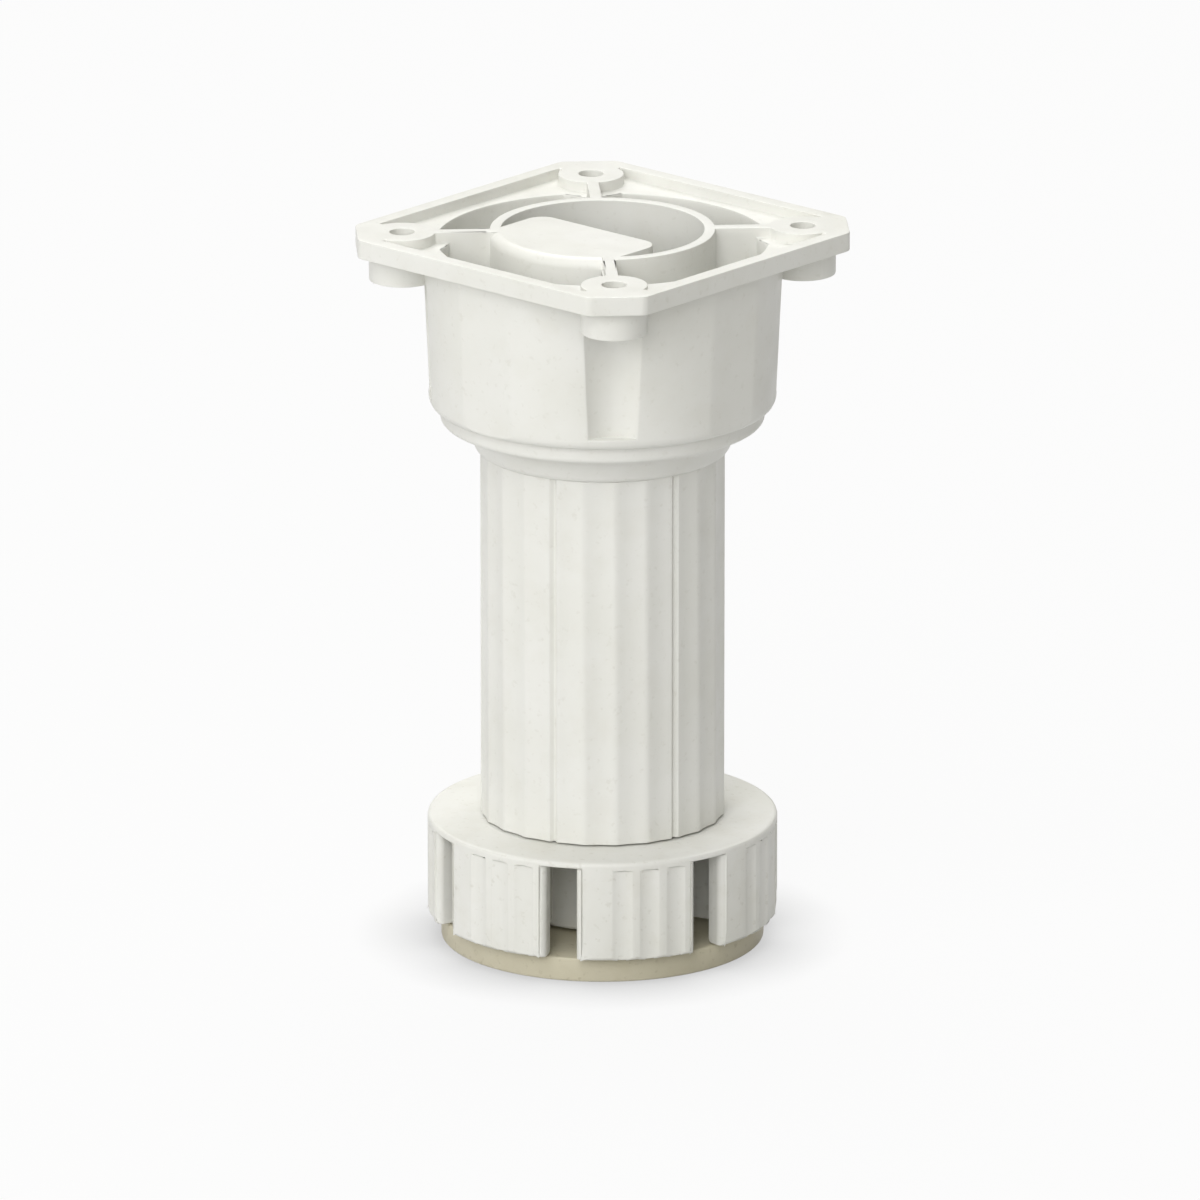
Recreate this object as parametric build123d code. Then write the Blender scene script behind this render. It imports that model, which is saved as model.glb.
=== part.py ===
from build123d import *
import math
import os

os.makedirs("parts", exist_ok=True)

# Heights above the floor, in mm
plate_top = 120.0
pad_thickness = 4.0
skirt_bottom = pad_thickness + 0.3
foot_top = 21.0
tube_bottom = foot_top + 0.3

# Heights of the mounting socket, down from its top face
plate_bottom = plate_top - 3.2
corner_floor = plate_top - 1.8
boss_bottom = plate_top - 8.0
spigot_top = plate_top - 12.0
well_floor = plate_top - 26.0
driver_groove_bottom = plate_top - 27.4
cup_bottom = plate_top - 29.4
cup_step_bottom = plate_top - 32.0
neck_bottom = plate_top - 37.0

# Mounting socket: square plate, rim and screw bosses
plate_side = 63.0
corner_leg = 6.57
corner_cut_distance = (plate_side - corner_leg) / math.sqrt(2)
rim_width = 2.6
hole_spacing = plate_side - 17.0
hole_radius = 2.0
boss_radius = 5.4
rib_thickness = 2.0

# Mounting socket: cup, central ring and neck
cup_top_radius = 29.6
cup_low_radius = 28.2
cup_round = 1.6
cup_flat_depth = 0.45
step_radius = 26.4
neck_radius = 20.5
neck_flare = 1.5
well_top_radius = 27.0
well_low_radius = 25.6
ring_outer_radius = 18.3
ring_wall = 1.8
ring_bore_radius = ring_outer_radius - ring_wall
driver_groove_radius = 6.0
driver_wall_radius = driver_groove_radius + 1.6

# Mounting socket: flat tongue over the front half of the bore
tongue_half_width = ring_outer_radius - 5.3
tongue_free_edge = -0.5
tongue_thickness = 2.0
tongue_corner = 3.0
tongue_roll = 1.7

# Leg tube
tube_radius = 20.1
tube_inner_radius = 17.6
tube_flutes = 24
tube_flute_first = -12.0
tube_flute_depth = 0.38
tube_nick_every = 4
tube_nick_depth = 0.5
tube_nick_half_width = 0.66
tube_head_thickness = 2.5
spigot_gap = 0.08
spigot_wall = 2.0
spigot_radius = ring_bore_radius - spigot_gap
spigot_inner_radius = spigot_radius - spigot_wall
sleeve_outer_radius = 14.4
sleeve_bore_radius = 12.1
web_count = 6
web_thickness = 1.8

# Adjuster foot with its screw stem
foot_radius = 28.6
foot_edge_round = 1.0
skirt_wall = 3.4
foot_plate_thickness = 2.2
slot_count = 7
slot_first_angle = -62.3
slot_width = 5.0
slot_top = 20.0
knurl_step = 9.5
knurl_half_width = 1.45
knurl_depth = 0.5
hub_radius = 14.0
hub_bottom = 4.6
foot_rib_thickness = 2.0
foot_rib_bottom = 5.4
stem_radius = 12.0
stem_root_radius = 10.9
stem_top = 64.0
stem_land = 2.0
stem_lead_in = 1.0
stem_core_radius = 7.5

# Floor pad with its snap stud
pad_radius = 26.4
pad_edge = 0.5
stud_radius = 5.0
stud_tip_radius = 4.6
stud_top = 13.2
snap_radius = 5.5
snap_bottom = 10.9
snap_land = 0.5
running_gap = 0.1


def turned(points):
    """Solid of revolution about +Z from (radius, height) points."""
    profile = make_face(Polyline([(r, 0, z) for r, z in points], close=True))
    return revolve(profile, axis=Axis.Z)


def rounded_rim(radius, low, high, rounding):
    """Half section of a disc whose top edge is rounded in two steps."""
    return [
        (0, low),
        (radius, low),
        (radius, high - rounding),
        (radius - 0.3 * rounding, high - 0.3 * rounding),
        (radius - rounding, high),
        (0, high),
    ]


def post(radius, low, high, x=0.0, y=0.0):
    """Upright cylinder between two heights."""
    place = Pos(x, y, low)
    return place * Cylinder(radius, high - low, align=(Align.CENTER, Align.CENTER, Align.MIN))


def block(x0, x1, y0, y1, z0, z1):
    """Box between two corners."""
    place = Pos((x0 + x1) / 2, (y0 + y1) / 2, (z0 + z1) / 2)
    return place * Box(x1 - x0, y1 - y0, z1 - z0)


def spoke(angle, inner, outer, thickness, low, high):
    """Upright wall running outwards from the axis at an angle."""
    return Rot(0, 0, angle) * block(inner, outer, -thickness / 2, thickness / 2, low, high)


def at_angle(radius, angle):
    """Point on a circle round the axis."""
    return (radius * math.cos(math.radians(angle)), radius * math.sin(math.radians(angle)))


def vee(radius, half_width, depth, low, high):
    """Upright V-shaped cutter that reaches in from a round wall on the +X side."""
    mouth = radius + depth
    reach = 2 * half_width
    points = [(mouth, -reach), (radius - depth, 0), (mouth, reach)]
    profile = make_face(Polyline([(x, y, low) for x, y in points], close=True))
    return extrude(profile, amount=high - low, dir=(0, 0, 1))


def square_slab(side, corner_distance, low, high):
    """Square slab with its four corners cut off by 45 degree planes."""
    slab = block(-side / 2, side / 2, -side / 2, side / 2, low, high)
    turned_square = block(
        -corner_distance, corner_distance, -corner_distance, corner_distance, low, high
    )
    return slab & (Rot(0, 0, 45) * turned_square)


hole_places = [
    (hole_spacing / 2, hole_spacing / 2),
    (-hole_spacing / 2, hole_spacing / 2),
    (-hole_spacing / 2, -hole_spacing / 2),
    (hole_spacing / 2, -hole_spacing / 2),
]


def make_socket():
    # Plate with a rim, shallow floors only in the corners
    plate = square_slab(plate_side, corner_cut_distance, plate_bottom, plate_top)
    plate = fillet(plate.edges().filter_by(Axis.Z), 0.8)
    recess = square_slab(
        plate_side - 2 * rim_width, corner_cut_distance - rim_width, corner_floor, plate_top + 1
    )
    plate = plate - recess

    # Cup tapering down to a rounded lower edge, with a shallow flat down each of its four sides
    cup_top = plate_top - 1.0
    cup = turned(
        [
            (0, cup_bottom),
            (cup_low_radius - 0.7 * cup_round, cup_bottom),
            (cup_low_radius, cup_bottom + cup_round),
            (cup_top_radius, cup_top),
            (0, cup_top),
        ]
    )
    low_side = 2 * (cup_low_radius - cup_flat_depth)
    top_side = 2 * (cup_top_radius - cup_flat_depth)
    low_square = Pos(0, 0, cup_bottom) * Rectangle(low_side, low_side)
    top_square = Pos(0, 0, cup_top) * Rectangle(top_side, top_side)
    cup = cup & loft([low_square, top_square])
    lower = turned(
        [
            (0, neck_bottom),
            (neck_radius, neck_bottom),
            (neck_radius + neck_flare / 2, neck_bottom + 1.6),
            (neck_radius + neck_flare, cup_step_bottom - 1.4),
            (neck_radius + neck_flare + 2, cup_step_bottom - 0.3),
            (step_radius - 0.8, cup_step_bottom),
            (step_radius, cup_step_bottom + 0.8),
            (step_radius, cup_bottom + 1.0),
            (0, cup_bottom + 1.0),
        ]
    )

    # Ring round the bore, standing in a deep well
    well = turned(
        [
            (ring_outer_radius, well_floor),
            (well_low_radius, well_floor),
            (well_top_radius, corner_floor),
            (well_top_radius, plate_top + 1),
            (ring_outer_radius, plate_top + 1),
        ]
    )
    walls = [post(driver_wall_radius, well_floor - 1, corner_floor, x, y) for x, y in hole_places]
    well = well - (Part() + walls)
    ribs = Part() + [
        spoke(45 + 90 * k, ring_outer_radius - 0.8, 30.0, rib_thickness, well_floor - 1, plate_top)
        for k in range(4)
    ]
    bosses = Part() + [post(boss_radius, boss_bottom, plate_top, x, y) for x, y in hole_places]
    cup_space = block(-40, 40, -40, 40, corner_floor, plate_top + 1) - post(
        ring_outer_radius, corner_floor - 1, plate_top + 2
    )
    body = (plate + cup - cup_space) + plate + lower
    body = body - well
    ring = post(ring_outer_radius, well_floor - 1, plate_top)
    body = body + ring + ribs + bosses
    body = body - post(ring_bore_radius, neck_bottom - 1, plate_top + 1)

    # Flat tongue in one with the ring, its outer edge rolled over into the ring wall
    tongue_low = plate_top - tongue_thickness
    disc = turned(rounded_rim(ring_outer_radius, tongue_low, plate_top, tongue_roll))
    tab = block(
        -tongue_half_width, tongue_half_width, -25, tongue_free_edge, tongue_low, plate_top
    )
    tab = fillet(tab.edges().filter_by(Axis.Z).group_by(Axis.Y)[-1], tongue_corner)
    wall_start = -math.sqrt(ring_bore_radius**2 - tongue_half_width**2) + 1.0
    tongue_gap = block(
        -tongue_half_width,
        tongue_half_width,
        -ring_outer_radius - 0.2,
        wall_start,
        tongue_low,
        plate_top + 1,
    )
    body = body - tongue_gap
    body = body + (disc & tab)

    # Screw holes, and the screwdriver grooves down the cup wall under them
    for x, y in hole_places:
        body = body - post(hole_radius, boss_bottom - 1, plate_top + 1, x, y)
        body = body - post(driver_groove_radius, driver_groove_bottom, boss_bottom, x, y)
    return body


def make_tube():
    # Outer wall of shallow hollow flutes that meet in crests
    pitch = 360.0 / tube_flutes
    arcs = []
    for k in range(tube_flutes):
        crest = tube_flute_first + pitch * k
        arcs.append(
            ThreePointArc(
                at_angle(tube_radius, crest),
                at_angle(tube_radius - tube_flute_depth, crest + pitch / 2),
                at_angle(tube_radius, crest + pitch),
            )
        )
    outline = make_face(arcs)
    tube = extrude(Pos(0, 0, tube_bottom) * outline, amount=neck_bottom - tube_bottom)

    # Narrow nicks down some of the crests
    nicks = [
        Rot(0, 0, tube_flute_first + pitch * k)
        * vee(tube_radius, tube_nick_half_width, tube_nick_depth, tube_bottom - 1, neck_bottom + 1)
        for k in range(0, tube_flutes, tube_nick_every)
    ]
    tube = tube - nicks
    tube = tube - post(tube_inner_radius, tube_bottom - 1, neck_bottom - tube_head_thickness)

    # Inner sleeve on webs, carrying the screw stem
    tube = tube + post(sleeve_outer_radius, tube_bottom, neck_bottom)
    webs = [
        spoke(
            15 + 360.0 / web_count * k,
            sleeve_outer_radius - 0.8,
            tube_inner_radius + 0.5,
            web_thickness,
            tube_bottom,
            neck_bottom - 1,
        )
        for k in range(web_count)
    ]
    tube = tube + webs

    # Spigot standing in the socket bore
    spigot = post(spigot_radius, neck_bottom - 1, spigot_top)
    spigot = chamfer(spigot.edges().group_by(Axis.Z)[-1], 0.8)
    tube = tube + spigot
    tube = tube - post(spigot_inner_radius, neck_bottom, spigot_top + 1)
    tube = tube - post(sleeve_bore_radius, tube_bottom - 1, neck_bottom + 1)
    return tube


def make_foot():
    # Slotted skirt hanging from the foot plate
    foot = turned(rounded_rim(foot_radius, skirt_bottom, foot_top, foot_edge_round))
    foot = foot - post(foot_radius - skirt_wall, skirt_bottom - 1, foot_top - foot_plate_thickness)
    pitch = 360.0 / slot_count
    slots = []
    grooves = []
    for k in range(slot_count):
        slot_angle = slot_first_angle + pitch * k
        slots.append(
            spoke(slot_angle, foot_radius - 6, foot_radius + 2, slot_width, skirt_bottom - 1, slot_top)
        )
        for step in (-1, 0, 1):
            turn = slot_angle + pitch / 2 + knurl_step * step
            groove = vee(foot_radius, knurl_half_width, knurl_depth, skirt_bottom - 1, slot_top)
            grooves.append(Rot(0, 0, turn) * groove)
    foot = foot - slots
    foot = foot - grooves

    # Hub and ribs under the foot plate
    foot = foot + post(hub_radius, hub_bottom, foot_top - 1)
    ribs = [
        spoke(
            slot_first_angle + pitch / 2 + pitch * k,
            hub_radius - 1,
            foot_radius - skirt_wall + 0.8,
            foot_rib_thickness,
            foot_rib_bottom,
            foot_top - 1,
        )
        for k in range(slot_count)
    ]
    foot = foot + ribs

    # Screw stem: full diameter lands at both ends, core between them, hollow above
    foot = foot + turned(
        [
            (0, foot_top - 1),
            (stem_radius, foot_top - 1),
            (stem_radius, foot_top + stem_land),
            (stem_root_radius, foot_top + stem_land + 0.6),
            (stem_root_radius, stem_top - stem_land - stem_lead_in - 0.6),
            (stem_radius, stem_top - stem_land - stem_lead_in),
            (stem_radius, stem_top - stem_lead_in),
            (stem_radius - stem_lead_in, stem_top),
            (0, stem_top),
        ]
    )
    foot = foot - post(stem_core_radius, foot_top + 1, stem_top + 1)

    # Socket in the hub for the stud of the floor pad
    foot = foot - turned(
        [
            (0, hub_bottom - 1),
            (stud_radius + running_gap, hub_bottom - 1),
            (stud_radius + running_gap, snap_bottom - 0.2),
            (snap_radius + running_gap, snap_bottom - 0.2),
            (snap_radius + running_gap, stud_top + 0.6),
            (0, stud_top + 0.6),
        ]
    )
    return foot


def make_pad():
    # Disc with broken edges, and a stud whose barbed tip snaps into the hub
    return turned(
        [
            (0, 0),
            (pad_radius - pad_edge, 0),
            (pad_radius, pad_edge),
            (pad_radius, pad_thickness - pad_edge),
            (pad_radius - pad_edge, pad_thickness),
            (stud_radius, pad_thickness),
            (stud_radius, snap_bottom),
            (snap_radius, snap_bottom),
            (snap_radius, snap_bottom + snap_land),
            (stud_tip_radius, stud_top),
            (0, stud_top),
        ]
    )


nodes = {
    "mounting_socket": make_socket(),
    "leg_tube": make_tube(),
    "adjuster_foot": make_foot(),
    "floor_pad": make_pad(),
}
for name, shape in nodes.items():
    box = shape.bounding_box()
    print(name, len(shape.solids()), round(shape.volume), box.min, box.max)
    export_step(shape, f"parts/{name}.step")
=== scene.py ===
# %% [markdown]
# # A bed base leg in moulded plastic
# The leg screws up under a bed base by its square socket plate. A fluted tube stands in the
# socket, and a slotted foot on a screw stem lets the height be set by hand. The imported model
# gives every size, so it is loaded first and never moved.

import math

import bpy
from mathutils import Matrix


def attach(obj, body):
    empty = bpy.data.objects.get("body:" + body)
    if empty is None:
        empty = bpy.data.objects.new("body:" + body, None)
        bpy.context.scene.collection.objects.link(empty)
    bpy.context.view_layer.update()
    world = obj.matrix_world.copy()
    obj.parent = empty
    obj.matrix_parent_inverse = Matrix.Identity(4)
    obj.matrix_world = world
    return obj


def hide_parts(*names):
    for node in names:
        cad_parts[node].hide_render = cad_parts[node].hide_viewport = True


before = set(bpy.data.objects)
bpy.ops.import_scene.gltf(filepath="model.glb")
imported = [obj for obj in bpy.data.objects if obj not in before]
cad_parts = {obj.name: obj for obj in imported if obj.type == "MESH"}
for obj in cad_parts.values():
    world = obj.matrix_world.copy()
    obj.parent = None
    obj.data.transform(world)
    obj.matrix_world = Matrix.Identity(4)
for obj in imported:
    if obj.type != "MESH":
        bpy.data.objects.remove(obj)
bpy.ops.object.select_all(action="DESELECT")
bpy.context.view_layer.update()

# %% [markdown]
# ## Sizes
# The driving sizes are in millimetres, as on the drawing of a moulding. Blender works in
# metres, so one factor turns the first into the second. Heights count from the floor.

# %% Driving sizes
MM = 0.001

PAD_TOP = 4.0
SKIRT_LOW = 4.3
FOOT_TOP = 21.0
TUBE_LOW = 21.3
NECK_LOW = 83.0
CUP_LOW = 90.6
WELL_FLOOR = 94.0
SPIGOT_TOP = 108.0
BOSS_LOW = 112.0
PLATE_LOW = 116.8
CORNER_FLOOR = 118.2
PLATE_TOP = 120.0

PLATE_HALF = 31.5
CORNER_LEG = 6.57
RIM = 2.6
HOLE_AT = 23.0
HOLE_R = 2.0
BOSS_R = 5.4
RIB = 2.0
CUP_LOW_R = 28.2
CUP_TOP_R = 29.6
CUP_FLAT = 0.45
RING_R = 18.3
BORE_R = 16.5
WELL_R = 27.0
WELL_FLOOR_R = 25.6
GROOVE_R = 6.0
GROOVE_LOW = 92.6
TONGUE_HALF = 13.0
TONGUE_EDGE = -0.5
TONGUE_THICK = 2.0
TONGUE_CORNER = 3.0
TONGUE_ROLL = 1.7

TUBE_R = 20.1
FLUTES = 24
FLUTE_FIRST = -12.0
FLUTE_DEPTH = 0.38
NICK_DEPTH = 0.85
FOOT_R = 28.6
SLOTS = 7
SLOT_FIRST = -62.3
SLOT_WIDTH = 5.0
SLOT_TOP = 20.0
SLOT_ROUND = 1.2
KNURL_TOP = 19.6
KNURL_R = 5.3
KNURL_DEPTH = 0.35
KNURL_STEP = 9.1
KNURL_SHIFT = 3.9
STEM_R = 12.0
STEM_ROOT_R = 10.9
THREAD_PITCH = 4.0
PAD_R = 26.4

SMOOTH = 96
EDGE = 0.22
print("leg height", PLATE_TOP, "mm, plate", 2 * PLATE_HALF, "mm square")

# %% [markdown]
# ## Small tools
# An operator works on whatever is selected, so each helper selects its own object first. The
# turned pieces are drawn as half a section, vertex by vertex, and spun round the leg's axis,
# which is how their mould cavities are cut on a lathe.


# %% Selecting and naming
def only(obj):
    """Makes obj the one selected and active object."""
    bpy.ops.object.select_all(action="DESELECT")
    obj.select_set(True)
    bpy.context.view_layer.objects.active = obj
    return obj


def named(name):
    """Names the active object, and puts its place and size into its mesh."""
    obj = bpy.context.object
    obj.name = name
    obj.data.name = name
    bpy.ops.object.transform_apply(location=True, rotation=True, scale=True)
    return obj


def select_edges(obj, wanted):
    """In edit mode, selects only the edges whose two ends pass the test."""
    bpy.ops.object.mode_set(mode="OBJECT")
    bpy.context.tool_settings.mesh_select_mode = (False, True, False)
    mesh = obj.data
    for item in (*mesh.vertices, *mesh.edges, *mesh.polygons):
        item.select = False
    for edge in mesh.edges:
        a, b = (mesh.vertices[i].co for i in edge.vertices)
        if wanted(a, b):
            edge.select = True
            for i in edge.vertices:
                mesh.vertices[i].select = True
    bpy.ops.object.mode_set(mode="EDIT")


def is_upright(a, b):
    """True for an edge that runs straight up."""
    return math.dist(a[:2], b[:2]) < 1e-7


print("selection helpers ready")


# %% Turning a half section
def softened(points, radius, steps=3):
    """The outline with its inner corners rounded; points are (radius, height) in mm."""
    out = [points[0]]
    for before, here, after in zip(points, points[1:], points[2:]):
        reach = min(radius, 0.45 * math.dist(before, here), 0.45 * math.dist(here, after))
        start = [h + (b - h) * reach / math.dist(before, here) for h, b in zip(here, before)]
        end = [h + (a - h) * reach / math.dist(here, after) for h, a in zip(here, after)]
        for i in range(steps + 1):
            t = i / steps
            out.append(
                tuple((1 - t) ** 2 * s + 2 * t * (1 - t) * h + t * t * e for s, h, e in zip(start, here, end))
            )
    return out + [points[-1]]


def turned(name, points, steps=SMOOTH, turn=0.0):
    """A solid of revolution from a closed or axis-to-axis half section in mm."""
    bpy.ops.object.select_all(action="DESELECT")
    first_r, first_z = points[0]
    bpy.ops.mesh.primitive_plane_add(size=MM, location=(first_r * MM, 0, first_z * MM))
    obj = named(name)
    bpy.ops.object.mode_set(mode="EDIT")
    bpy.ops.mesh.select_mode(type="VERT")
    bpy.ops.mesh.select_all(action="SELECT")
    bpy.ops.mesh.merge(type="CENTER")
    for (r0, z0), (r1, z1) in zip(points, points[1:]):
        step = ((r1 - r0) * MM, 0, (z1 - z0) * MM)
        bpy.ops.mesh.extrude_vertices_move(TRANSFORM_OT_translate={"value": step})
    bpy.ops.mesh.select_all(action="SELECT")
    bpy.ops.mesh.spin(steps=steps, angle=2 * math.pi, center=(0, 0, 0), axis=(0, 0, 1))
    bpy.ops.mesh.select_all(action="SELECT")
    bpy.ops.mesh.remove_doubles(threshold=2e-6)
    bpy.ops.mesh.normals_make_consistent(inside=False)
    bpy.ops.object.mode_set(mode="OBJECT")
    if turn:
        obj.rotation_euler.z = math.radians(turn)
        bpy.ops.object.transform_apply(location=False, rotation=True, scale=False)
    return obj


print("turning helpers ready")


# %% Posts, blocks and joining
def post(radius, low, high, x=0.0, y=0.0, sides=48):
    """An upright round post in mm."""
    bpy.ops.object.select_all(action="DESELECT")
    bpy.ops.mesh.primitive_cylinder_add(
        vertices=sides,
        radius=radius * MM,
        depth=(high - low) * MM,
        location=(x * MM, y * MM, (low + high) / 2 * MM),
    )
    return named("post")


def block(x0, x1, y0, y1, low, high, turn=0.0):
    """A box between two corners in mm, then turned round the leg's axis by degrees."""
    bpy.ops.object.select_all(action="DESELECT")
    bpy.ops.mesh.primitive_cube_add(
        size=1,
        location=((x0 + x1) / 2 * MM, (y0 + y1) / 2 * MM, (low + high) / 2 * MM),
        scale=((x1 - x0) * MM, (y1 - y0) * MM, (high - low) * MM),
    )
    obj = named("block")
    if turn:
        obj.rotation_euler.z = math.radians(turn)
        bpy.ops.object.transform_apply(location=False, rotation=True, scale=False)
    return obj


def prism(points, low, high, turn=0.0):
    """An upright solid over an outline of (x, y) points in mm, turned by degrees."""
    bpy.ops.object.select_all(action="DESELECT")
    x, y = points[0]
    bpy.ops.mesh.primitive_plane_add(size=MM, location=(x * MM, y * MM, low * MM))
    obj = named("prism")
    bpy.ops.object.mode_set(mode="EDIT")
    bpy.ops.mesh.select_mode(type="VERT")
    bpy.ops.mesh.select_all(action="SELECT")
    bpy.ops.mesh.merge(type="CENTER")
    for (x0, y0), (x1, y1) in zip(points, points[1:]):
        step = ((x1 - x0) * MM, (y1 - y0) * MM, 0)
        bpy.ops.mesh.extrude_vertices_move(TRANSFORM_OT_translate={"value": step})
    bpy.ops.mesh.select_all(action="SELECT")
    bpy.ops.mesh.edge_face_add()
    rise = (0, 0, (high - low) * MM)
    bpy.ops.mesh.extrude_region_move(TRANSFORM_OT_translate={"value": rise})
    bpy.ops.mesh.select_all(action="SELECT")
    bpy.ops.mesh.normals_make_consistent(inside=False)
    bpy.ops.object.mode_set(mode="OBJECT")
    obj.rotation_euler.z = math.radians(turn)
    bpy.ops.object.transform_apply(location=False, rotation=True, scale=False)
    return obj


def combine(target, tools, operation, touching=False):
    """Adds the tools, cuts them out or keeps what is shared; touching allows for walls that meet."""
    for tool in tools:
        only(target)
        modifier = target.modifiers.new("Combine", "BOOLEAN")
        modifier.operation = operation
        modifier.solver = "EXACT"
        modifier.use_self = touching
        modifier.object = tool
        bpy.ops.object.modifier_apply(modifier=modifier.name)
        bpy.data.objects.remove(tool)
    return target


def add(target, *tools):
    return combine(target, tools, "UNION")


def cut(target, *tools):
    return combine(target, tools, "DIFFERENCE")


def round_edges(obj, width=EDGE, segments=2, angle=32.0):
    """Rounds the sharp edges of a finished moulding and smooths its curved faces."""
    only(obj)
    bpy.ops.object.mode_set(mode="EDIT")
    bpy.ops.mesh.select_all(action="SELECT")
    bpy.ops.mesh.remove_doubles(threshold=0.02 * MM)
    bpy.ops.mesh.quads_convert_to_tris(quad_method="BEAUTY", ngon_method="BEAUTY")
    bpy.ops.object.mode_set(mode="OBJECT")
    modifier = obj.modifiers.new("Edge rounding", "BEVEL")
    modifier.width = width * MM
    modifier.segments = segments
    modifier.limit_method = "ANGLE"
    modifier.angle_limit = math.radians(angle)
    modifier.use_clamp_overlap = False
    modifier.loop_slide = False
    bpy.ops.object.modifier_apply(modifier=modifier.name)
    bpy.ops.object.shade_smooth_by_angle(angle=math.radians(angle))
    modifier = obj.modifiers.new("Flat faces stay flat", "WEIGHTED_NORMAL")
    modifier.keep_sharp = True
    bpy.ops.object.modifier_apply(modifier=modifier.name)
    return obj


HOLES = [(sx * HOLE_AT, sy * HOLE_AT) for sx, sy in ((1, 1), (-1, 1), (-1, -1), (1, -1))]
DIAGONALS = [45, 135, 225, 315]
print("modelling helpers ready")

# %% [markdown]
# ## The mounting socket
# The socket is one moulding. Its plate is a square with cut corners, and a round cup with a
# shallow flat down each of its four sides hangs under it. Everything open from above is a
# cutter taken out of that solid: the shallow corners, the deep well round the ring, and the
# bore. Each cutter first loses what must stay standing, such as ribs and bosses.


# %% Plate and cup
def slab(half, corner_leg, low, high, corner_round):
    """A square slab with its corners cut off and the new corners slightly rounded."""
    obj = block(-half, half, -half, half, low, high)
    select_edges(obj, is_upright)
    bpy.ops.mesh.bevel(offset=corner_leg * MM, segments=1, affect="EDGES")
    select_edges(obj, is_upright)
    bpy.ops.mesh.bevel(offset=corner_round * MM, segments=3, affect="EDGES")
    bpy.ops.object.mode_set(mode="OBJECT")
    return obj


def make_cup():
    """The tapering cup, kept inside a square taper that leaves a flat down each side."""
    top = PLATE_TOP - 1
    section = [(0, CUP_LOW), (CUP_LOW_R, CUP_LOW), (CUP_TOP_R, top), (0, top)]
    cup = turned("cup", softened(section, 1.7, 5))
    bpy.ops.mesh.primitive_cone_add(
        vertices=4,
        radius1=math.sqrt(2) * (CUP_LOW_R - CUP_FLAT) * MM,
        radius2=math.sqrt(2) * (CUP_TOP_R - CUP_FLAT) * MM,
        depth=(top - CUP_LOW) * MM,
        location=(0, 0, (top + CUP_LOW) / 2 * MM),
        rotation=(0, 0, math.radians(45)),
    )
    combine(cup, [named("taper")], "INTERSECT")
    flat_half = math.sqrt(CUP_TOP_R**2 - (CUP_TOP_R - CUP_FLAT) ** 2) * MM

    def beside_flat(a, b):
        across = min(abs(a.x), abs(a.y))
        return abs(a.z - b.z) > 0.01 and abs(across - flat_half) < 0.3 * MM

    only(cup)
    select_edges(cup, beside_flat)
    bpy.ops.mesh.bevel(offset=0.35 * MM, segments=2, affect="EDGES")
    bpy.ops.object.mode_set(mode="OBJECT")
    return cup


def make_socket_outside():
    """The plate with the cup, the stepped neck and the corner bosses under it."""
    plate = slab(PLATE_HALF, CORNER_LEG, PLATE_LOW, PLATE_TOP, 0.8)
    cup = make_cup()
    neck_section = [
        (0, NECK_LOW),
        (20.5, NECK_LOW),
        (21.2, 84.6),
        (22.0, 86.6),
        (24.0, 87.7),
        (26.4, 88.0),
        (26.4, CUP_LOW + 1),
        (0, CUP_LOW + 1),
    ]
    neck = turned("neck", softened(neck_section, 0.8, 3))
    bosses = [post(BOSS_R, BOSS_LOW, PLATE_LOW + 1, x, y) for x, y in HOLES]
    return add(plate, cup, neck, *bosses)


socket = make_socket_outside()
socket.name = "socket_body"
print("socket outside:", len(socket.data.polygons), "faces")


# %% Recess, well and bore
def ribs(low, high):
    return [block(RING_R - 1, 31, -RIB / 2, RIB / 2, low, high, a) for a in DIAGONALS]


def make_corner_recess():
    """The shallow floor inside the rim, without the ring, the bosses and the ribs."""
    low, high = CORNER_FLOOR, PLATE_TOP + 1
    recess = slab(PLATE_HALF - RIM, CORNER_LEG - RIM * 0.6, low, high, 0.6)
    kept = [post(RING_R, low - 1, high + 1, sides=SMOOTH)]
    kept += [post(BOSS_R, low - 1, high + 1, x, y) for x, y in HOLES]
    for x, y in HOLES:
        x0, x1 = sorted((x * 0.95, x * 1.4))
        y0, y1 = sorted((y * 0.95, y * 1.4))
        kept.append(block(x0, x1, y0, y1, low - 1, high + 1))
    return cut(recess, *kept, *ribs(low - 1, high + 1))


def make_well():
    """The deep well round the ring, without the ribs and the walls behind the grooves."""
    section = [
        (RING_R, PLATE_TOP + 1),
        (RING_R, WELL_FLOOR),
        (WELL_FLOOR_R, WELL_FLOOR),
        (WELL_R, CORNER_FLOOR),
        (WELL_R, PLATE_TOP + 1),
        (RING_R, PLATE_TOP + 1),
    ]
    well = turned("well", softened(section, 0.6, 2))
    walls = [post(GROOVE_R + 1.6, WELL_FLOOR - 2, CORNER_FLOOR, x, y) for x, y in HOLES]
    return cut(well, *walls, *ribs(WELL_FLOOR - 2, PLATE_TOP + 2))


def make_bore():
    """The bore, without the flat tongue that covers its front half."""
    bore = post(BORE_R, NECK_LOW - 1, PLATE_TOP + 1, sides=SMOOTH)
    low = PLATE_TOP - TONGUE_THICK
    tongue = block(-TONGUE_HALF, TONGUE_HALF, -25, TONGUE_EDGE, low, PLATE_TOP + 2)
    select_edges(tongue, lambda a, b: is_upright(a, b) and a.y > -0.01)
    bpy.ops.mesh.bevel(offset=TONGUE_CORNER * MM, segments=6, affect="EDGES")
    bpy.ops.object.mode_set(mode="OBJECT")
    return cut(bore, tongue)


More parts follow.
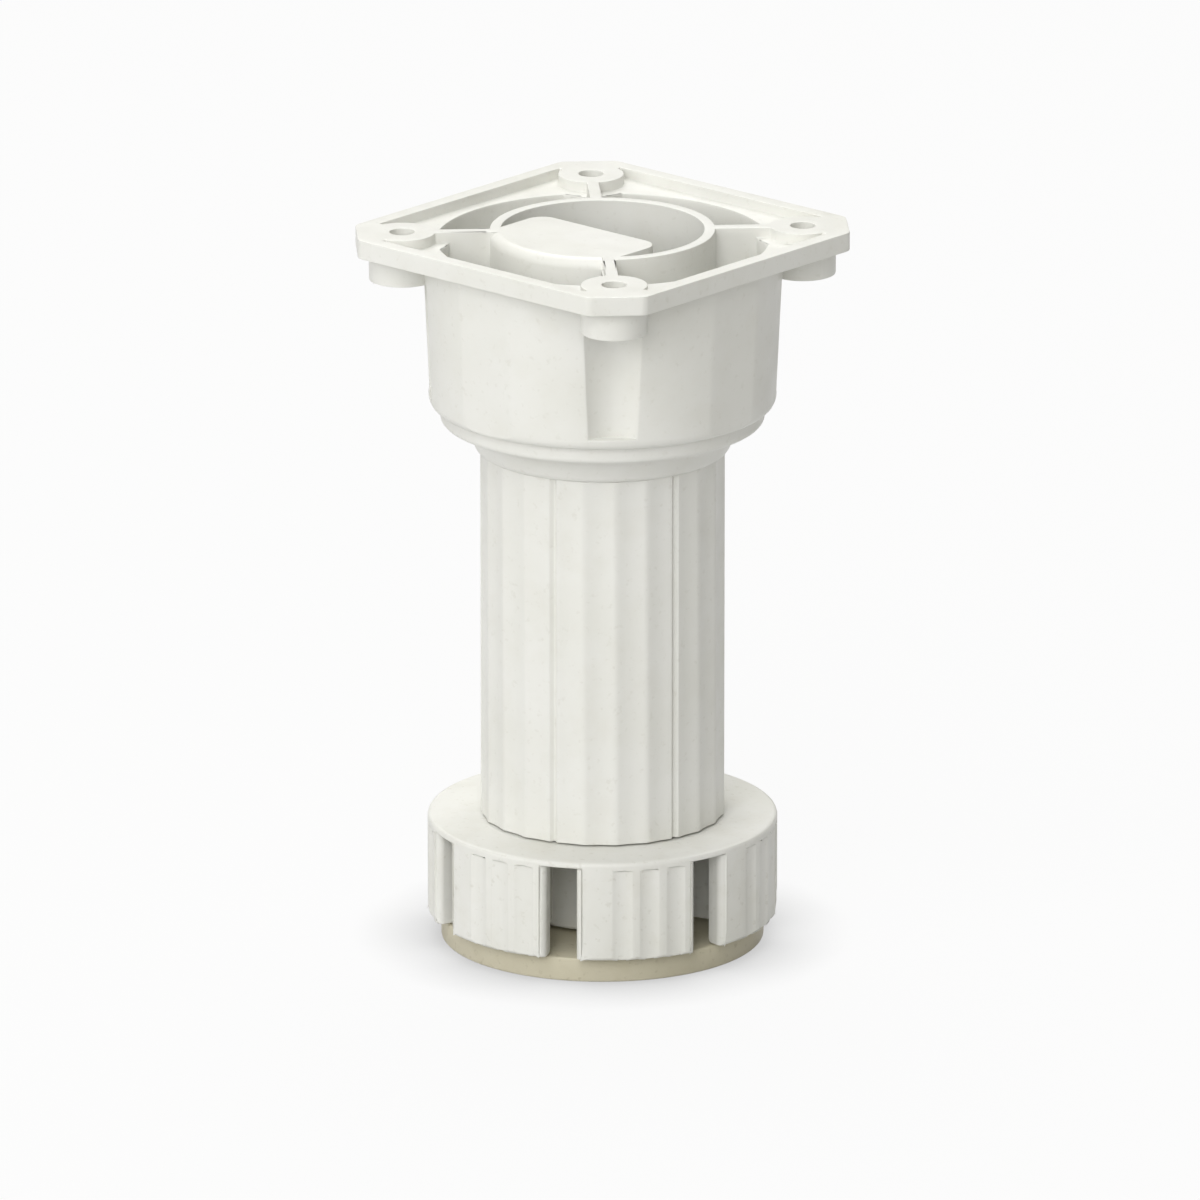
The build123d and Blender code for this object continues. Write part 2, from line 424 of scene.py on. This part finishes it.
def make_tongue_roll():
    """What comes off the ring's front edge, so that the tongue rolls over into its wall."""
    corner_r, corner_z = RING_R - TONGUE_ROLL, PLATE_TOP - TONGUE_ROLL
    arc = [
        (corner_r + TONGUE_ROLL * math.sin(a), corner_z + TONGUE_ROLL * math.cos(a))
        for a in (math.radians(90 * i / 6) for i in range(7))
    ]
    section = arc + [(RING_R + 0.5, corner_z), (RING_R + 0.5, PLATE_TOP + 0.5)]
    section += [(corner_r, PLATE_TOP + 0.5), arc[0]]
    roll = turned("roll", section)
    keep = prism([(0, 0), (-25, -25), (25, -25)], PLATE_TOP - 3, PLATE_TOP + 2)
    return combine(roll, [keep], "INTERSECT")


def rib_roots():
    """The front ribs' inner ends, at full height where the roll went across them."""
    half = RIB / 2 - 0.01
    low, high = PLATE_TOP - 2.6, PLATE_TOP
    return [block(16.55, 19.2, -half, half, low, high, a) for a in DIAGONALS[2:]]


cut(socket, make_corner_recess(), make_well())
combine(socket, [make_bore(), make_tongue_roll()], "DIFFERENCE", touching=True)
combine(socket, rib_roots(), "UNION", touching=True)
print("socket opened:", len(socket.data.polygons), "faces")

# %% Screw holes and driver grooves
cut(socket, *[post(HOLE_R, BOSS_LOW - 1, PLATE_TOP + 1, x, y, 32) for x, y in HOLES])
cut(socket, *[post(GROOVE_R, GROOVE_LOW, BOSS_LOW, x, y, 64) for x, y in HOLES])
round_edges(socket)
for vertex in socket.data.vertices:
    vertex.co.z = min(vertex.co.z, PLATE_TOP * MM)
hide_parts("mounting_socket")
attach(socket, "leg")
print("socket finished:", len(socket.data.polygons), "faces")

# %% [markdown]
# ## The fluted tube
# The tube is extruded upwards from one circle, so its flutes are shaped before it has any
# height. Every eighth vertex stays out as a sharp crest and those between are drawn in, the
# middle ones most. Six crests are nicked, which gives the tube its dark upright lines.


# %% Tube outline and wall
def make_tube():
    steps = 8
    count = FLUTES * steps
    bpy.ops.object.select_all(action="DESELECT")
    bpy.ops.mesh.primitive_circle_add(
        vertices=count,
        radius=TUBE_R * MM,
        fill_type="NGON",
        location=(0, 0, TUBE_LOW * MM),
        rotation=(0, 0, math.radians(FLUTE_FIRST - 90)),
    )
    tube = named("tube_body")
    draw_in = {i: FLUTE_DEPTH * math.sin(math.pi * i / steps) for i in range(1, steps)}
    levels = {}
    for vertex in tube.data.vertices:
        angle = math.degrees(math.atan2(vertex.co.y, vertex.co.x)) - FLUTE_FIRST
        place = round(angle / (360 / count)) % count
        crest, along = divmod(place, steps)
        depth = draw_in[along] if along else (NICK_DEPTH if crest % 4 == 0 else 0.0)
        levels.setdefault(round(depth, 4), []).append(vertex.index)
    for depth, members in levels.items():
        bpy.ops.object.mode_set(mode="EDIT")
        bpy.ops.mesh.select_mode(type="VERT")
        bpy.ops.mesh.select_all(action="DESELECT")
        bpy.ops.object.mode_set(mode="OBJECT")
        for i in members:
            tube.data.vertices[i].select = True
        bpy.ops.object.mode_set(mode="EDIT")
        shrink = (TUBE_R - depth) / TUBE_R
        bpy.ops.transform.resize(value=(shrink, shrink, 1), center_override=(0, 0, TUBE_LOW * MM))
    bpy.ops.mesh.select_all(action="SELECT")
    bpy.ops.mesh.extrude_region_move(
        TRANSFORM_OT_translate={"value": (0, 0, (NECK_LOW - TUBE_LOW) * MM)}
    )
    bpy.ops.mesh.select_all(action="SELECT")
    bpy.ops.mesh.normals_make_consistent(inside=False)
    bpy.ops.object.mode_set(mode="OBJECT")
    inside = [(0, TUBE_LOW - 1), (17.6, TUBE_LOW - 1), (17.6, 80.5), (0, 80.5)]
    spigot = [(0, 82.0), (16.42, 82.0), (16.42, SPIGOT_TOP), (14.4, SPIGOT_TOP), (14.4, 83), (0, 83)]
    sleeve = [(12.1, TUBE_LOW), (14.4, TUBE_LOW), (14.4, 81), (12.1, 81), (12.1, TUBE_LOW)]
    webs = [block(14, 18, -0.9, 0.9, TUBE_LOW, 81, 15 + 60 * k) for k in range(6)]
    cut(tube, turned("inside", inside))
    add(tube, turned("spigot", softened(spigot, 0.5, 2)), turned("sleeve", sleeve), *webs)
    cut(tube, post(12.1, TUBE_LOW - 1, NECK_LOW + 1, sides=SMOOTH))
    return tube


tube = make_tube()
round_edges(tube, width=0.15, angle=40)
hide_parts("leg_tube")
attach(tube, "leg")
print("tube finished:", len(tube.data.polygons), "faces")

# %% [markdown]
# ## The adjuster foot
# The foot is a turned cap with a hollow skirt. Seven slots go right through the skirt, with
# three finger grooves between each two. The hub and its ribs show dimly through the slots.


# %% Foot body
def slot_outline():
    """Half of the slot's plan, its mouth rounded into the skirt, then the other half."""
    half = SLOT_WIDTH / 2
    across = half + SLOT_ROUND
    reach = FOOT_R - SLOT_ROUND
    along = math.sqrt(reach**2 - across**2)
    lean = math.asin(across / reach)
    half_plan = [(22.6, half)]
    for i in range(7):
        t = (math.pi / 2 - lean) * i / 6
        half_plan.append((along + SLOT_ROUND * math.sin(t), across - SLOT_ROUND * math.cos(t)))
    half_plan.append((31.0 * math.cos(lean), 31.0 * math.sin(lean)))
    return half_plan + [(x, -y) for x, y in reversed(half_plan)]


def make_foot():
    section = [
        (0, SKIRT_LOW + 0.3),
        (14.0, SKIRT_LOW + 0.3),
        (14.0, 18.8),
        (25.2, 18.8),
        (25.2, SKIRT_LOW),
        (FOOT_R, SKIRT_LOW),
        (FOOT_R, FOOT_TOP),
        (STEM_R, FOOT_TOP),
        (STEM_R, 23.0),
        (STEM_ROOT_R, 23.6),
        (STEM_ROOT_R, 60.4),
        (STEM_R, 61.0),
        (STEM_R, 63.0),
        (11.0, 64.0),
        (0, 64.0),
    ]
    foot = turned("foot_body", softened(section, 0.7, 3))
    pitch = 360 / SLOTS
    rib_angles = [SLOT_FIRST + pitch * (k + 0.5) for k in range(SLOTS)]
    add(foot, *[block(13.5, 26, -1, 1, 5.4, 19.5, a) for a in rib_angles])
    plan = slot_outline()
    cut(foot, *[prism(plan, 3, SLOT_TOP, SLOT_FIRST + pitch * k) for k in range(SLOTS)])
    knurls = []
    for middle in rib_angles:
        for step in (-1, 0, 1):
            a = math.radians(middle + KNURL_SHIFT + KNURL_STEP * step)
            r = FOOT_R + KNURL_R - KNURL_DEPTH
            knurls.append(post(KNURL_R, 3, KNURL_TOP, r * math.cos(a), r * math.sin(a), 96))
    cut(foot, *knurls)
    hub_hole = [(0, 3), (5.1, 3), (5.1, 10.7), (5.6, 10.7), (5.6, 13.8), (0, 13.8)]
    cut(foot, turned("hub hole", hub_hole), post(7.5, FOOT_TOP + 1, 65))
    return foot


foot = make_foot()
round_edges(foot, width=0.2)
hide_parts("adjuster_foot")
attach(foot, "adjuster")
print("foot finished:", len(foot.data.polygons), "faces")


# %% [markdown]
# ## The screw thread
# The stem carries a coarse round ridge that shows only when the foot is wound out. A small
# section is swept by a Screw modifier, which turns and lifts it at the same time.


# %% Thread ridge
def make_thread():
    low, turns = 24.2, 8
    section = [(STEM_ROOT_R - 0.3, -1.0), (STEM_R - 0.06, -0.35), (STEM_R - 0.06, 0.35), (STEM_ROOT_R - 0.3, 1.0)]
    bpy.ops.object.select_all(action="DESELECT")
    r0, z0 = section[0]
    bpy.ops.mesh.primitive_plane_add(size=MM, location=(r0 * MM, 0, (low + z0) * MM))
    thread = named("stem_thread")
    bpy.ops.object.mode_set(mode="EDIT")
    bpy.ops.mesh.select_all(action="SELECT")
    bpy.ops.mesh.merge(type="CENTER")
    for (ra, za), (rb, zb) in zip(section, section[1:]):
        bpy.ops.mesh.extrude_vertices_move(
            TRANSFORM_OT_translate={"value": ((rb - ra) * MM, 0, (zb - za) * MM)}
        )
    bpy.ops.mesh.select_all(action="SELECT")
    bpy.ops.mesh.edge_face_add()
    bpy.ops.mesh.delete(type="ONLY_FACE")
    bpy.ops.object.mode_set(mode="OBJECT")
    modifier = thread.modifiers.new("Sweep", "SCREW")
    modifier.angle = 2 * math.pi
    modifier.screw_offset = THREAD_PITCH * MM
    modifier.iterations = turns
    modifier.steps = 64
    modifier.render_steps = 64
    bpy.ops.object.modifier_apply(modifier=modifier.name)
    bpy.ops.object.mode_set(mode="EDIT")
    bpy.ops.mesh.select_all(action="SELECT")
    bpy.ops.mesh.remove_doubles(threshold=1e-6)
    bpy.ops.mesh.select_all(action="DESELECT")
    bpy.ops.mesh.select_non_manifold()
    bpy.ops.mesh.edge_face_add()
    bpy.ops.mesh.select_all(action="SELECT")
    bpy.ops.mesh.normals_make_consistent(inside=False)
    bpy.ops.object.mode_set(mode="OBJECT")
    bpy.ops.object.shade_smooth_by_angle(angle=math.radians(35))
    return thread


thread = make_thread()
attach(thread, "adjuster")
print("thread finished:", len(thread.data.polygons), "faces")

# %% [markdown]
# ## The floor pad
# The pad is a plain turned disc a little smaller than the foot, so that a shadow line shows
# between the two. Its stud snaps into the hub and stays hidden.

# %% Floor pad
pad_section = [
    (0, 0),
    (PAD_R, 0),
    (PAD_R, PAD_TOP),
    (5.0, PAD_TOP),
    (5.0, 10.9),
    (5.5, 10.9),
    (5.5, 11.4),
    (4.6, 13.2),
    (0, 13.2),
]
pad = turned("pad_body", softened(pad_section, 0.5, 3))
only(pad)
bpy.ops.object.shade_smooth_by_angle(angle=math.radians(32))
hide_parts("floor_pad")
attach(pad, "pad")
print("pad finished:", len(pad.data.polygons), "faces")

# %% [markdown]
# ## Moulded plastic
# Off-white plastic is never one flat colour. It has faint clouds from the melt, a fine spark
# texture that breaks up its shine, and a little dust where hands and brooms don't reach. A
# node group makes all three, and each material sets its own amounts.


# %% Node group for the moulded surface
def make_surface_group():
    group = bpy.data.node_groups.new("Moulded surface", "ShaderNodeTree")
    face = group.interface
    face.new_socket("Plastic", in_out="INPUT", socket_type="NodeSocketColor")
    face.new_socket("Clouding", in_out="INPUT", socket_type="NodeSocketFloat")
    face.new_socket("Roughness", in_out="INPUT", socket_type="NodeSocketFloat")
    face.new_socket("Dust", in_out="INPUT", socket_type="NodeSocketFloat")
    face.new_socket("Color", in_out="OUTPUT", socket_type="NodeSocketColor")
    face.new_socket("Roughness", in_out="OUTPUT", socket_type="NodeSocketFloat")
    face.new_socket("Height", in_out="OUTPUT", socket_type="NodeSocketFloat")
    nodes, links = group.nodes, group.links
    given = nodes.new("NodeGroupInput")
    made = nodes.new("NodeGroupOutput")
    place = nodes.new("ShaderNodeTexCoord")

    def noise(scale, detail, rough):
        node = nodes.new("ShaderNodeTexNoise")
        node.inputs["Scale"].default_value = scale
        node.inputs["Detail"].default_value = detail
        node.inputs["Roughness"].default_value = rough
        links.new(place.outputs["Object"], node.inputs["Vector"])
        return node.outputs["Fac"]

    def spread(source, low, high, to_low, to_high):
        node = nodes.new("ShaderNodeMapRange")
        node.inputs["From Min"].default_value = low
        node.inputs["From Max"].default_value = high
        node.inputs["To Min"].default_value = to_low
        node.inputs["To Max"].default_value = to_high
        links.new(source, node.inputs["Value"])
        return node.outputs["Result"]

    def times(a, b):
        node = nodes.new("ShaderNodeMath")
        node.operation = "MULTIPLY"
        links.new(a, node.inputs[0])
        links.new(b, node.inputs[1])
        return node.outputs[0]

    def tinted(fac, base, tint):
        node = nodes.new("ShaderNodeMix")
        node.data_type = "RGBA"
        node.blend_type = "MULTIPLY"
        node.inputs["B"].default_value = tint
        links.new(fac, node.inputs["Factor"])
        links.new(base, node.inputs["A"])
        return node.outputs["Result"]

    clouds = spread(noise(55, 4, 0.55), 0.35, 0.7, 0, 1)
    specks = spread(noise(900, 2, 0.5), 0.62, 0.74, 0, 1)
    grime = spread(noise(160, 5, 0.6), 0.5, 0.75, 0, 1)
    color = tinted(times(clouds, given.outputs["Clouding"]), given.outputs["Plastic"], (0.9, 0.9, 0.86, 1))
    color = tinted(times(grime, given.outputs["Dust"]), color, (0.84, 0.82, 0.76, 1))
    color = tinted(times(specks, given.outputs["Dust"]), color, (0.7, 0.68, 0.62, 1))
    sheen = nodes.new("ShaderNodeMath")
    sheen.operation = "ADD"
    links.new(given.outputs["Roughness"], sheen.inputs[0])
    links.new(spread(noise(240, 3, 0.5), 0.3, 0.7, -0.06, 0.08), sheen.inputs[1])
    links.new(color, made.inputs["Color"])
    links.new(sheen.outputs[0], made.inputs["Roughness"])
    links.new(noise(2600, 2, 0.5), made.inputs["Height"])
    return group


surface = make_surface_group()
print("surface group has", len(surface.nodes), "nodes")


# %% Materials
def plastic(name, color, clouding, roughness, dust):
    material = bpy.data.materials.new(name)
    material.use_nodes = True
    nodes, links = material.node_tree.nodes, material.node_tree.links
    shader = nodes["Principled BSDF"]
    shader.inputs["IOR"].default_value = 1.5
    shader.inputs["Subsurface Weight"].default_value = 0.0
    detail = nodes.new("ShaderNodeGroup")
    detail.node_tree = surface
    detail.inputs["Plastic"].default_value = (*color, 1)
    detail.inputs["Clouding"].default_value = clouding
    detail.inputs["Roughness"].default_value = roughness
    detail.inputs["Dust"].default_value = dust
    bump = nodes.new("ShaderNodeBump")
    bump.inputs["Strength"].default_value = 0.12
    bump.inputs["Distance"].default_value = 0.00005
    links.new(detail.outputs["Color"], shader.inputs["Base Color"])
    links.new(detail.outputs["Roughness"], shader.inputs["Roughness"])
    links.new(detail.outputs["Height"], bump.inputs["Height"])
    links.new(bump.outputs["Normal"], shader.inputs["Normal"])
    return material


IVORY = (0.8, 0.8, 0.765)
finishes = {
    socket: plastic("Socket plastic", IVORY, 0.5, 0.42, 0.18),
    tube: plastic("Tube plastic", IVORY, 0.55, 0.4, 0.2),
    foot: plastic("Foot plastic", IVORY, 0.6, 0.45, 0.3),
    # The pad's darker, warmer colour is painted shade: the ivory is dimmed as the shade under the skirt dims it.
    pad: plastic("Pad plastic in painted shade", (0.61, 0.57, 0.44), 0.7, 0.5, 0.5),
}
finishes[thread] = finishes[foot]
for piece, material in finishes.items():
    piece.data.materials.clear()
    piece.data.materials.append(material)
    print(piece.name, "has", material.name)

# %% [markdown]
# ## Floor, light and camera
# The leg stands on a white sweep. A low softbox on the left models the flutes, a wide one by
# the camera fills the front, and two high ones, in front and behind, light the plate and the
# top of the foot. The camera is far off with a long lens, so upright edges stay parallel.

# %% White floor
bpy.ops.object.select_all(action="DESELECT")
bpy.ops.mesh.primitive_plane_add(size=12, location=(0, 0, 0))
floor = bpy.context.object
floor.name = "white_floor"
ground = bpy.data.materials.new("White ground")
ground.use_nodes = True
ground_nodes, ground_links = ground.node_tree.nodes, ground.node_tree.links
ground_nodes["Principled BSDF"].inputs["Base Color"].default_value = (0.6, 0.6, 0.6, 1)
ground_nodes["Principled BSDF"].inputs["Roughness"].default_value = 0.9
glow = ground_nodes.new("ShaderNodeEmission")
glow.inputs["Color"].default_value = (1, 1, 1, 1)
# Ambient occlusion dims the floor's glow close to the leg: a painted contact shadow on the floor.
near = ground_nodes.new("ShaderNodeAmbientOcclusion")
near.inputs["Distance"].default_value = 0.014
near.samples = 16
painted_contact_shadow = ground_nodes.new("ShaderNodeMapRange")
painted_contact_shadow.inputs["From Min"].default_value = 0.3
painted_contact_shadow.inputs["To Min"].default_value = 0.62
ground_links.new(near.outputs["AO"], painted_contact_shadow.inputs["Value"])
ground_links.new(painted_contact_shadow.outputs["Result"], glow.inputs["Strength"])
seen = ground_nodes.new("ShaderNodeLightPath")
share = ground_nodes.new("ShaderNodeMath")
share.operation = "MULTIPLY"
share.inputs[1].default_value = 0.91
either = ground_nodes.new("ShaderNodeMath")
either.operation = "MAXIMUM"
blend = ground_nodes.new("ShaderNodeMixShader")
ground_links.new(seen.outputs["Is Camera Ray"], either.inputs[0])
ground_links.new(seen.outputs["Is Glossy Ray"], either.inputs[1])
ground_links.new(either.outputs[0], share.inputs[0])
ground_links.new(share.outputs[0], blend.inputs["Fac"])
ground_links.new(ground_nodes["Principled BSDF"].outputs[0], blend.inputs[1])
ground_links.new(glow.outputs[0], blend.inputs[2])
ground_links.new(blend.outputs[0], ground_nodes["Material Output"].inputs["Surface"])
floor.data.materials.append(ground)
print("floor is", round(floor.dimensions.x, 1), "m wide")

# %% Camera
CAMERA_AZIMUTH = 41.7
CAMERA_ELEVATION = 17.2
CAMERA_DISTANCE = 3.2
PHOTO_WIDTH_MM = 195.6
AIM = (0.0, 0.0, 0.05693)
AIM_LEFT = 0.00041
SENSOR = 36.0


def from_view(azimuth, elevation):
    """Unit direction from the leg towards a viewer."""
    a, e = math.radians(azimuth), math.radians(elevation)
    return (math.sin(a) * math.cos(e), -math.cos(a) * math.cos(e), math.sin(e))


back = from_view(CAMERA_AZIMUTH, CAMERA_ELEVATION)
turn = math.radians(CAMERA_AZIMUTH)
aim = (AIM[0] - AIM_LEFT * math.cos(turn), AIM[1] - AIM_LEFT * math.sin(turn), AIM[2])
bpy.ops.object.camera_add(
    location=[a + b * CAMERA_DISTANCE for a, b in zip(aim, back)],
    rotation=(math.radians(90 - CAMERA_ELEVATION), 0, turn),
)
camera = bpy.context.object
camera.data.sensor_width = SENSOR
camera.data.lens = CAMERA_DISTANCE * 1000 * SENSOR / PHOTO_WIDTH_MM
camera.data.clip_start = 0.1
camera.data.clip_end = 30
bpy.context.scene.camera = camera
print("camera lens", round(camera.data.lens), "mm")


# %% Lamps and world
def lamp(name, azimuth, elevation, distance, size, power):
    direction = from_view(azimuth, elevation)
    place = [a + b * distance for a, b in zip(AIM, direction)]
    bpy.ops.object.light_add(
        type="AREA",
        location=place,
        rotation=(math.radians(90 - elevation), 0, math.radians(azimuth)),
    )
    light = bpy.context.object
    light.name = name
    light.data.shape = "SQUARE"
    light.data.size = size
    light.data.energy = power
    return light


lamp("side_softbox", CAMERA_AZIMUTH - 55, 20, 1.2, 0.5, 3.2)
lamp("front_fill", CAMERA_AZIMUTH - 10, 28, 2.0, 1.1, 14.0)
lamp("top_fill", CAMERA_AZIMUTH - 25, 55, 1.6, 0.9, 6.3)
lamp("back_softbox", CAMERA_AZIMUTH + 183, 62, 1.4, 1.2, 14.2)
world = bpy.data.worlds.new("Studio air")
bpy.context.scene.world = world
world.use_nodes = True
world.node_tree.nodes["Background"].inputs["Color"].default_value = (1, 0.975, 0.9, 1)
world.node_tree.nodes["Background"].inputs["Strength"].default_value = 0.27
bpy.context.scene.view_settings.view_transform = "Standard"
